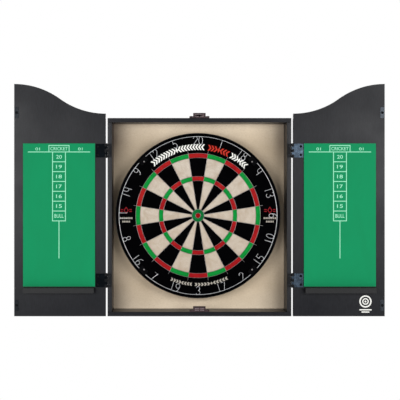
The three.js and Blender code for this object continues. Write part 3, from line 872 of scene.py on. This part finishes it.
def door(body):
    """One door: panel, scoreboard with its print, dart rail, strikes and hinges."""
    dress(f"{body}_panel", FOIL["z"], PANEL_EDGE)
    dress(f"{body}_scoreboard", (SCORE_GREEN,), 0.0004)
    dress(f"{body}_dart_rail", (RAIL_COAT,), 0.0008)
    tally_print(body)
    for end in ("bottom", "top"):
        name = f"{body}_{end}_strike"
        dress(name, (STRIKE_STEEL[body],), 0.0003)
        seat = middle_of(name)
        seat.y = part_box(name)[0].y
        screw(f"{name}_screw", "wide", seat, body)
    for end in ("lower", "upper"):
        hinge(f"{body}_{end}_hinge", body)


# ---- dartboard

NAIL_RADIUS = 0.208
TOP_MARKS = 0.187
LOW_MARKS = 0.188
MARK_FILL = 0.56
MARK_LEAN = 0.7
# The side ornaments: where they are across and up from the axis, and the diamond's half sizes and hole.
SIDE_MARK = (0.196, 0.0145)
DIAMOND = (0.0068, 0.0098)
DIAMOND_HOLE = 0.66
# Bands of chevrons: (start, end, count, ink) above and (start, end, count) below, and half their heights.
TOP_BANDS = ((131.5, 84.7, 19, 0), (81.5, 63.4, 7, 1), (61.5, 45.5, 7, 0))
LOW_BANDS = ((246.6, 265.2, 8), (267.0, 295.6, 11))
TOP_HALF = 0.0080
LOW_HALF = 0.0042
# The bars beside a diamond, across and up, and the rows of dashes under it: (drop, half length, count).
WING = (0.0085, 0.0155)
WING_BARS = ((-0.0045, -0.0022), (0.0006, 0.0029))
DASH_ROWS = ((0.007, 0.018, 7), (0.0165, 0.011, 5))
DASH_HALF = 0.0024
DASH_START = 0.15
DASH_FILL = 0.7
# The band's lap starts at this angle and goes on in half degrees.
LAP_START = 263
LAP_STEPS = 29
# The heads of the lap's rivets and of the ring's nails, as (radius, height).
RIVET = ((0, 0.0014), (0.0012, 0.0012), (0.0022, 0.0006), (0.0025, 0.0), (0.0, 0.0))
NAIL = ((0, 0.0009), (0.0011, 0.0008), (0.0019, 0.0004), (0.0022, 0), (0.0022, -0.0004), (0, -0.0004))
# Where the innermost ring of the bristle face starts.
BULL_HOLE = 0.002
# The rear and the front of the border's print.
PRINT_DEPTHS = (BOARD_FACE + 0.0002, BOARD_FACE - PRINT_LIFT * 0.6)


def bed_kind(radius, degrees):
    """Which of BEDS a place on the face takes, by its number there."""
    if radius < BULL_INNER:
        return 5
    if radius < BULL_OUTER:
        return 4
    if radius > DOUBLE[1]:
        return 1
    sector = math.floor(((90 - degrees) % 360 + SECTOR / 2) / SECTOR) % SECTORS
    dark = sector % 2 == 0
    if TREBLE[0] < radius < TREBLE[1] or DOUBLE[0] < radius < DOUBLE[1]:
        return 2 if dark else 3
    return 1 if dark else 0


def spread(stops, step):
    """Distances from the first stop to the last, no more than step apart, with every stop among them."""
    found = [stops[0]]
    for start, end in zip(stops, stops[1:]):
        count = max(1, math.ceil((end - start) / step))
        found.extend(start + (end - start) * at / count for at in range(1, count + 1))
    return found


def sisal_board():
    """The bristle face as one turned solid whose beds are coloured face by face."""
    flat = SISAL_RADIUS - SISAL_EDGE
    radii = spread([BULL_HOLE, BULL_INNER, BULL_OUTER, *TREBLE, *DOUBLE, flat], 0.008)
    shape = Shape()
    shape.hoop([(radius, BOARD_FACE) for radius in radii])
    steps = [360 * (step + 0.5) / STEPS_ROUND for step in range(STEPS_ROUND)]
    shape.kinds = [
        bed_kind((inner + outer) / 2, degrees)
        for inner, outer in zip(radii, radii[1:]) for degrees in steps
    ]
    whole = [tuple(range(STEPS_ROUND))]
    shape.add(circle(BULL_HOLE, BOARD_FACE, STEPS_ROUND), whole, 5)
    edge = [
        (flat + SISAL_EDGE * math.sin(angle), BOARD_FACE + SISAL_EDGE * (1 - math.cos(angle)))
        for angle in (math.radians(22.5 * step) for step in range(5))
    ]
    shape.hoop(edge + [(SISAL_RADIUS, BOARD_BACK), (BULL_HOLE, BOARD_BACK)], 1)
    shape.add(circle(BULL_HOLE, BOARD_BACK, STEPS_ROUND), whole, 1)
    piece("bristle_face", shape, "dartboard", BEDS, ("sisal_face",))


def band():
    """The rolled steel band, lipped at the front and lapped at the bottom with two rivets."""
    inner = SISAL_RADIUS + 0.0002
    lip = 0.0007
    sunk, proud, short = 0.0004, 0.0006, 0.001
    profile = [
        (inner, BOARD_BACK), (BOARD_RADIUS - lip, BOARD_BACK), (BOARD_RADIUS, BOARD_BACK - lip),
        (BOARD_RADIUS, BOARD_FACE + 2 * lip), (BOARD_RADIUS - lip * 0.3, BOARD_FACE + lip * 0.5),
        (BOARD_RADIUS - lip, BOARD_FACE), (inner + 0.0002, BOARD_FACE + lip * 0.3),
        (inner, BOARD_FACE + 2 * lip),
    ]
    shape = Shape()
    shape.hoop(profile + profile[:1])
    lap = [
        [polar(radius, degrees, y) for degrees in (LAP_START + 0.5 * step for step in range(LAP_STEPS))]
        for radius, y in (
            (BOARD_RADIUS - sunk, BOARD_BACK - short), (BOARD_RADIUS + proud, BOARD_BACK - short),
            (BOARD_RADIUS + proud, BOARD_FACE + short), (BOARD_RADIUS - sunk, BOARD_FACE + short),
        )
    ]
    shape.grid(lap + lap[:1], closed=False)
    for end in (0, -1):
        shape.add([row[end] for row in lap], [(0, 1, 2, 3)])
    for y in (BOARD_BACK * 0.75 + BOARD_FACE * 0.25, BOARD_BACK * 0.25 + BOARD_FACE * 0.75):
        seat = polar(BOARD_RADIUS + 0.0005, 270, y)
        shape.turned(RIVET, seat, (0, 0, -1), 16)
    piece("rolled_band", shape, "dartboard", (BAND_COAT,), ("steel_band",))


def backing():
    """The chipboard disc behind the bristles, with a broken edge, and its screw and feet."""
    hole = 0.0025
    break_edge = 0.0008
    profile = [
        (hole, BACKING_REAR), (BACKING_RADIUS - break_edge, BACKING_REAR),
        (BACKING_RADIUS, BACKING_REAR - break_edge), (BACKING_RADIUS, BOARD_BACK), (hole, BOARD_BACK),
    ]
    shape = Shape()
    shape.hoop(profile + profile[:1])
    piece("chipboard_back", shape, "dartboard", (CHIPBOARD,), ("board_backing",))
    dress("centre_screw", (ZINC,), 0.0003)
    for place in (1, 2, 3):
        dress(f"board_foot_{place}", (RUBBER,), 0.0012, segments=3)


def staple(shape, radius, degrees):
    """A small staple over a spoke, its legs driven into the face."""
    crown = WIRE_DEPTH - SPIDER_WIRE - STAPLE_WIRE * 0.8
    across = math.degrees(STAPLE_HALF / radius)
    half_way = ((1, BOARD_FACE + 0.0004), (0.95, crown + 0.0005), (0.6, crown))
    route = [polar(radius, degrees - across * share, depth) for share, depth in half_way]
    route += [polar(radius, degrees + across * share, depth) for share, depth in reversed(half_way)]
    shape.tube(route, STAPLE_WIRE, sides=6)


def spider():
    """The scoring wires: six hoops, twenty spokes that turn down into the face, and their staples."""
    shape = Shape()
    for radius in (BULL_INNER, BULL_OUTER, *TREBLE, *DOUBLE):
        steps = STEPS_ROUND if radius > BULL_OUTER else 60
        shape.tube(circle(radius, WIRE_DEPTH, steps), SPIDER_WIRE, closed=True)
    for place in range(SECTORS):
        degrees = SECTOR * (place + 0.5)
        route = [polar(BULL_OUTER, degrees, WIRE_DEPTH)]
        route += [polar(SPOKE_REACH - short, degrees, WIRE_DEPTH + sunk) for short, sunk in SPOKE_END]
        route.append(polar(SPOKE_REACH, degrees, BOARD_FACE + 0.0006))
        shape.tube(route, SPIDER_WIRE)
        for radius in STAPLE_RADII:
            staple(shape, radius, degrees)
    piece("wire_spider", shape, "dartboard", (SPIDER_STEEL,), ("spider",), WIRE_CREASE)


def arc(u, v, wide, high, start, end):
    """Points of an elliptic arc, a step for about every 15 degrees."""
    steps = max(4, round(abs(end - start) / 15))
    angles = [math.radians(start + (end - start) * step / steps) for step in range(steps + 1)]
    return [(u + wide * math.cos(angle), v + high * math.sin(angle)) for angle in angles]


# Wire strokes of each digit in a cell that is 1 high and about 0.5 wide, standing on v = 0.
DIGITS = (
    [arc(0, 0.5, 0.25, 0.5, 90, 450)],
    [[(0, 0), (0, 1)]],
    [arc(0, 0.75, 0.25, 0.25, 180, -40) + [(-0.25, 0), (0.25, 0)]],
    [arc(0, 0.75, 0.22, 0.25, 160, -90), arc(0, 0.25, 0.25, 0.25, 90, -160)],
    [[(0.2, 0), (0.2, 1)], [(-0.25, 1)] + arc(-0.01, 0.66, 0.24, 0.3, 180, 270) + [(0.2, 0.36)]],
    [[(0.2, 1), (-0.2, 1), (-0.2, 0.55)] + arc(-0.02, 0.3, 0.26, 0.3, 130, -150)],
    [arc(0.15, 0.3, 0.4, 0.7, 85, 180) + arc(0, 0.28, 0.25, 0.28, 180, 540)],
    [[(-0.22, 1), (0.25, 1), (-0.08, 0)]],
    [arc(0, 0.76, 0.2, 0.24, -90, 270), arc(0, 0.26, 0.25, 0.26, 90, 450)],
    [arc(-0.15, 0.7, 0.4, 0.7, -95, 0) + arc(0, 0.72, 0.25, 0.28, 0, 360)],
)


def number_ring():
    """The hoop and the wire digits welded to it."""
    shape = Shape()
    middle = Vector((BOARD_AXIS[0], RING_DEPTH, BOARD_AXIS[1]))
    shape.tube(circle(RING_RADIUS, RING_DEPTH, STEPS_ROUND), RING_WIRE, sides=10, closed=True)
    for place, number in enumerate(NUMBERS):
        inward = FIRST_INWARD <= place <= LAST_INWARD
        turn = Matrix.Rotation(math.radians(SECTOR * place + (180 if inward else 0)), 3, "Y")
        foot = -RING_RADIUS if inward else RING_RADIUS - DIGIT_HEIGHT
        digits = str(number)
        for at, digit in enumerate(digits):
            shift = (at - (len(digits) - 1) / 2) * DIGIT_PITCH
            for stroke in DIGITS[int(digit)]:
                route = [
                    middle + turn @ Vector((shift + u * DIGIT_WIDTH, 0, foot + v * DIGIT_HEIGHT))
                    for u, v in stroke
                ]
                shape.tube(route, DIGIT_WIRE, sides=8)
    piece("wire_number_ring", shape, "number_ring", (WIRE,), ("number_ring",), WIRE_CREASE)


def clips():
    """The holders that keep the number ring down, each with the nail that fixes it."""
    for place in range(1, 5):
        name = f"ring_clip_{place}"
        dress(name, (CLIP_BLACK,), 0.0003)
        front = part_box(name)[0].y
        shape = Shape()
        shape.turned(NAIL, polar(NAIL_RADIUS, 90 * place - 45, front), (0, -1, 0), HEAD_STEPS)
        piece(f"ring_nail_{place}", shape, "number_ring", (SPIDER_STEEL,))


def arc_of_marks(shape, radius, half_high, start, end, count, kind):
    """A band of chevrons that point to a lozenge in its middle, between two angles."""
    pitch = (end - start) / count
    stroke = math.radians(abs(pitch)) * radius * MARK_FILL
    lean = half_high * MARK_LEAN
    for place in range(count):
        degrees = start + pitch * (place + 0.5)
        side = place - (count - 1) / 2
        if side == 0:
            outline = [(-stroke * 0.7, 0), (0, -half_high), (stroke * 0.7, 0), (0, half_high)]
        else:
            tip = math.copysign(lean, side) * (-1 if end > start else 1)
            back = [(tip / 2, -half_high), (-tip / 2, 0), (tip / 2, half_high)]
            right = [(along + stroke / 2, out) for along, out in back]
            left = [(along - stroke / 2, out) for along, out in reversed(back)]
            outline = right + left
        middle = polar(radius, degrees, 0)
        turn = Matrix.Rotation(math.radians(degrees - 90), 2)
        corners = [turn @ Vector(point) for point in outline]
        shape.plate([(middle.x + corner.x, middle.z + corner.y) for corner in corners], *PRINT_DEPTHS, kind)


def face_print():
    """Plain ornaments on the black border: bands of small marks above and below, and one mark each side."""
    rear, front = PRINT_DEPTHS
    shape = Shape()
    for start, end, count, kind in TOP_BANDS:
        arc_of_marks(shape, TOP_MARKS, TOP_HALF, start, end, count, kind)
    for start, end, count in LOW_BANDS:
        arc_of_marks(shape, LOW_MARKS, LOW_HALF, start, end, count, 2)
    for side in (-1, 1):
        x = BOARD_AXIS[0] + side * SIDE_MARK[0]
        z = BOARD_AXIS[1] + SIDE_MARK[1]
        rings = ((1, rear), (1, front), (DIAMOND_HOLE, front), (DIAMOND_HOLE, rear), (1, rear))
        diamond = [
            [Vector((x + DIAMOND[0] * share * u, y, z + DIAMOND[1] * share * v))
             for u, v in ((-1, 0), (0, -1), (1, 0), (0, 1))]
            for share, y in rings
        ]
        shape.grid(diamond, 3)
        for wing in (-1, 1):
            left, right = sorted((x + wing * WING[0], x + wing * WING[1]))
            for low, high in WING_BARS:
                shape.bar(left, right, z + low, z + high, rear, front, 3)
        for drop, half, count in DASH_ROWS:
            pitch = 2 * half / count
            for place in range(count):
                left = x - half + pitch * (place + DASH_START)
                right = left + pitch * DASH_FILL
                level = BOARD_AXIS[1] - drop
                shape.bar(left, right, level - DASH_HALF, level + DASH_HALF, rear, front, 2)
    piece("face_print", shape, "dartboard", (WHITE_INK, RED_INK, SMALL_INK, DIM_RED_INK))


# ---- assembly

case()
hangers()
bracket()
catch("top_catch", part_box("top_panel")[1].z)
catch("bottom_catch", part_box("bottom_panel")[1].z)
for side in ("left", "right"):
    door(f"{side}_door")
roundel("right_door")
sisal_board()
band()
backing()
spider()
number_ring()
clips()
face_print()


# ---- studio

# How strong the world is: behind everything, on matt surfaces and in glossy ones.
BACKDROP = 1.0
FILL = 0.21
MIRRORED = 0.08
FLOOR_LEVEL = -1.0
FLOOR_CORNERS = ((-3, -3.2), (3, -3.2), (3, 2.1), (-3, 2.1))
FLOOR_GLOW = 0.12
CAMERA_PLACE = (-0.08, -2.877, 0.08)
CAMERA_LENS = 93.12
CAMERA_SHIFT = (0.0755, -0.03125)
LAMP_TARGET = (0, 0, 0.05)
# Each lamp's name, place, width, height and watts. The last three stand behind the wall's plane, so that
# the back and the sides can be seen. A little of their light reaches the front.
LAMPS = (
    ("left_softbox", (-1.1, -2.15, 0.15), 1.3, 0.8, 27),
    ("right_softbox", (1.25, -2.15, 0.25), 1.4, 0.9, 30),
    ("rear_softbox", (-0.5, 2.4, 0.9), 2.2, 1.3, 30),
    ("left_sidebox", (-2.6, 0.7, 0.4), 1.4, 1.2, 22),
    ("right_sidebox", (2.6, 0.7, 0.4), 1.4, 1.2, 22),
)


def area_light(name, place, width, height, power):
    """A soft rectangular lamp that faces the cabinet."""
    light = bpy.data.lights.new(name, "AREA")
    light.shape = "RECTANGLE"
    light.size = width
    light.size_y = height
    light.energy = power
    lamp = new_object(name, light)
    lamp.location = place
    lamp.rotation_euler = (Vector(LAMP_TARGET) - Vector(place)).to_track_quat("-Z", "Y").to_euler()


def world():
    """White behind everything, a soft fill on matt surfaces, and a dark room in glossy ones."""
    sky = bpy.data.worlds.new("studio")
    sky.use_nodes = True
    nodes, links = sky.node_tree.nodes, sky.node_tree.links
    path = nodes.new("ShaderNodeLightPath")

    def light(strength):
        node = nodes.new("ShaderNodeBackground")
        node.inputs["Color"].default_value = (1, 1, 1, 1)
        node.inputs["Strength"].default_value = strength
        return node.outputs[0]

    def choose(ray, chosen, other):
        node = nodes.new("ShaderNodeMixShader")
        for socket, source in zip(node.inputs, (path.outputs[ray], other, chosen)):
            links.new(source, socket)
        return node.outputs[0]

    around = choose("Is Diffuse Ray", light(FILL), light(MIRRORED))
    links.new(choose("Is Camera Ray", light(BACKDROP), around), nodes["World Output"].inputs["Surface"])
    bpy.context.scene.world = sky


def floor():
    """A pale floor below the cabinet. It ends short of where the scene's own camera would see it."""
    shape = Shape()
    shape.add([(x, y, FLOOR_LEVEL) for x, y in FLOOR_CORNERS], [(0, 1, 2, 3)])
    mesh = shape.mesh("floor")
    finish = Finish("floor_paint", 0.7)
    finish.feed("Base Color", finish.mix(finish.noise(0.4), (0.78, 0.78, 0.77, 1), (0.84, 0.84, 0.83, 1)))
    finish.shader.inputs["Emission Color"].default_value = (1, 1, 1, 1)
    finish.shader.inputs["Emission Strength"].default_value = FLOOR_GLOW
    mesh.materials.append(finish.material)
    made = new_object("floor", mesh)


def camera():
    """Straight on from 2.8 m, a little left of and above the middle, with the picture's shift."""
    view = bpy.data.cameras.new("camera")
    view.sensor_width = 36
    view.lens = CAMERA_LENS
    view.shift_x, view.shift_y = CAMERA_SHIFT
    view.clip_start = 0.05
    made = new_object("camera", view)
    made.location = CAMERA_PLACE
    made.rotation_euler = (math.radians(90), 0, 0)
    bpy.context.scene.camera = made


bpy.context.scene.view_settings.view_transform = "Standard"
world()
floor()
for lamp in LAMPS:
    area_light(*lamp)
camera()
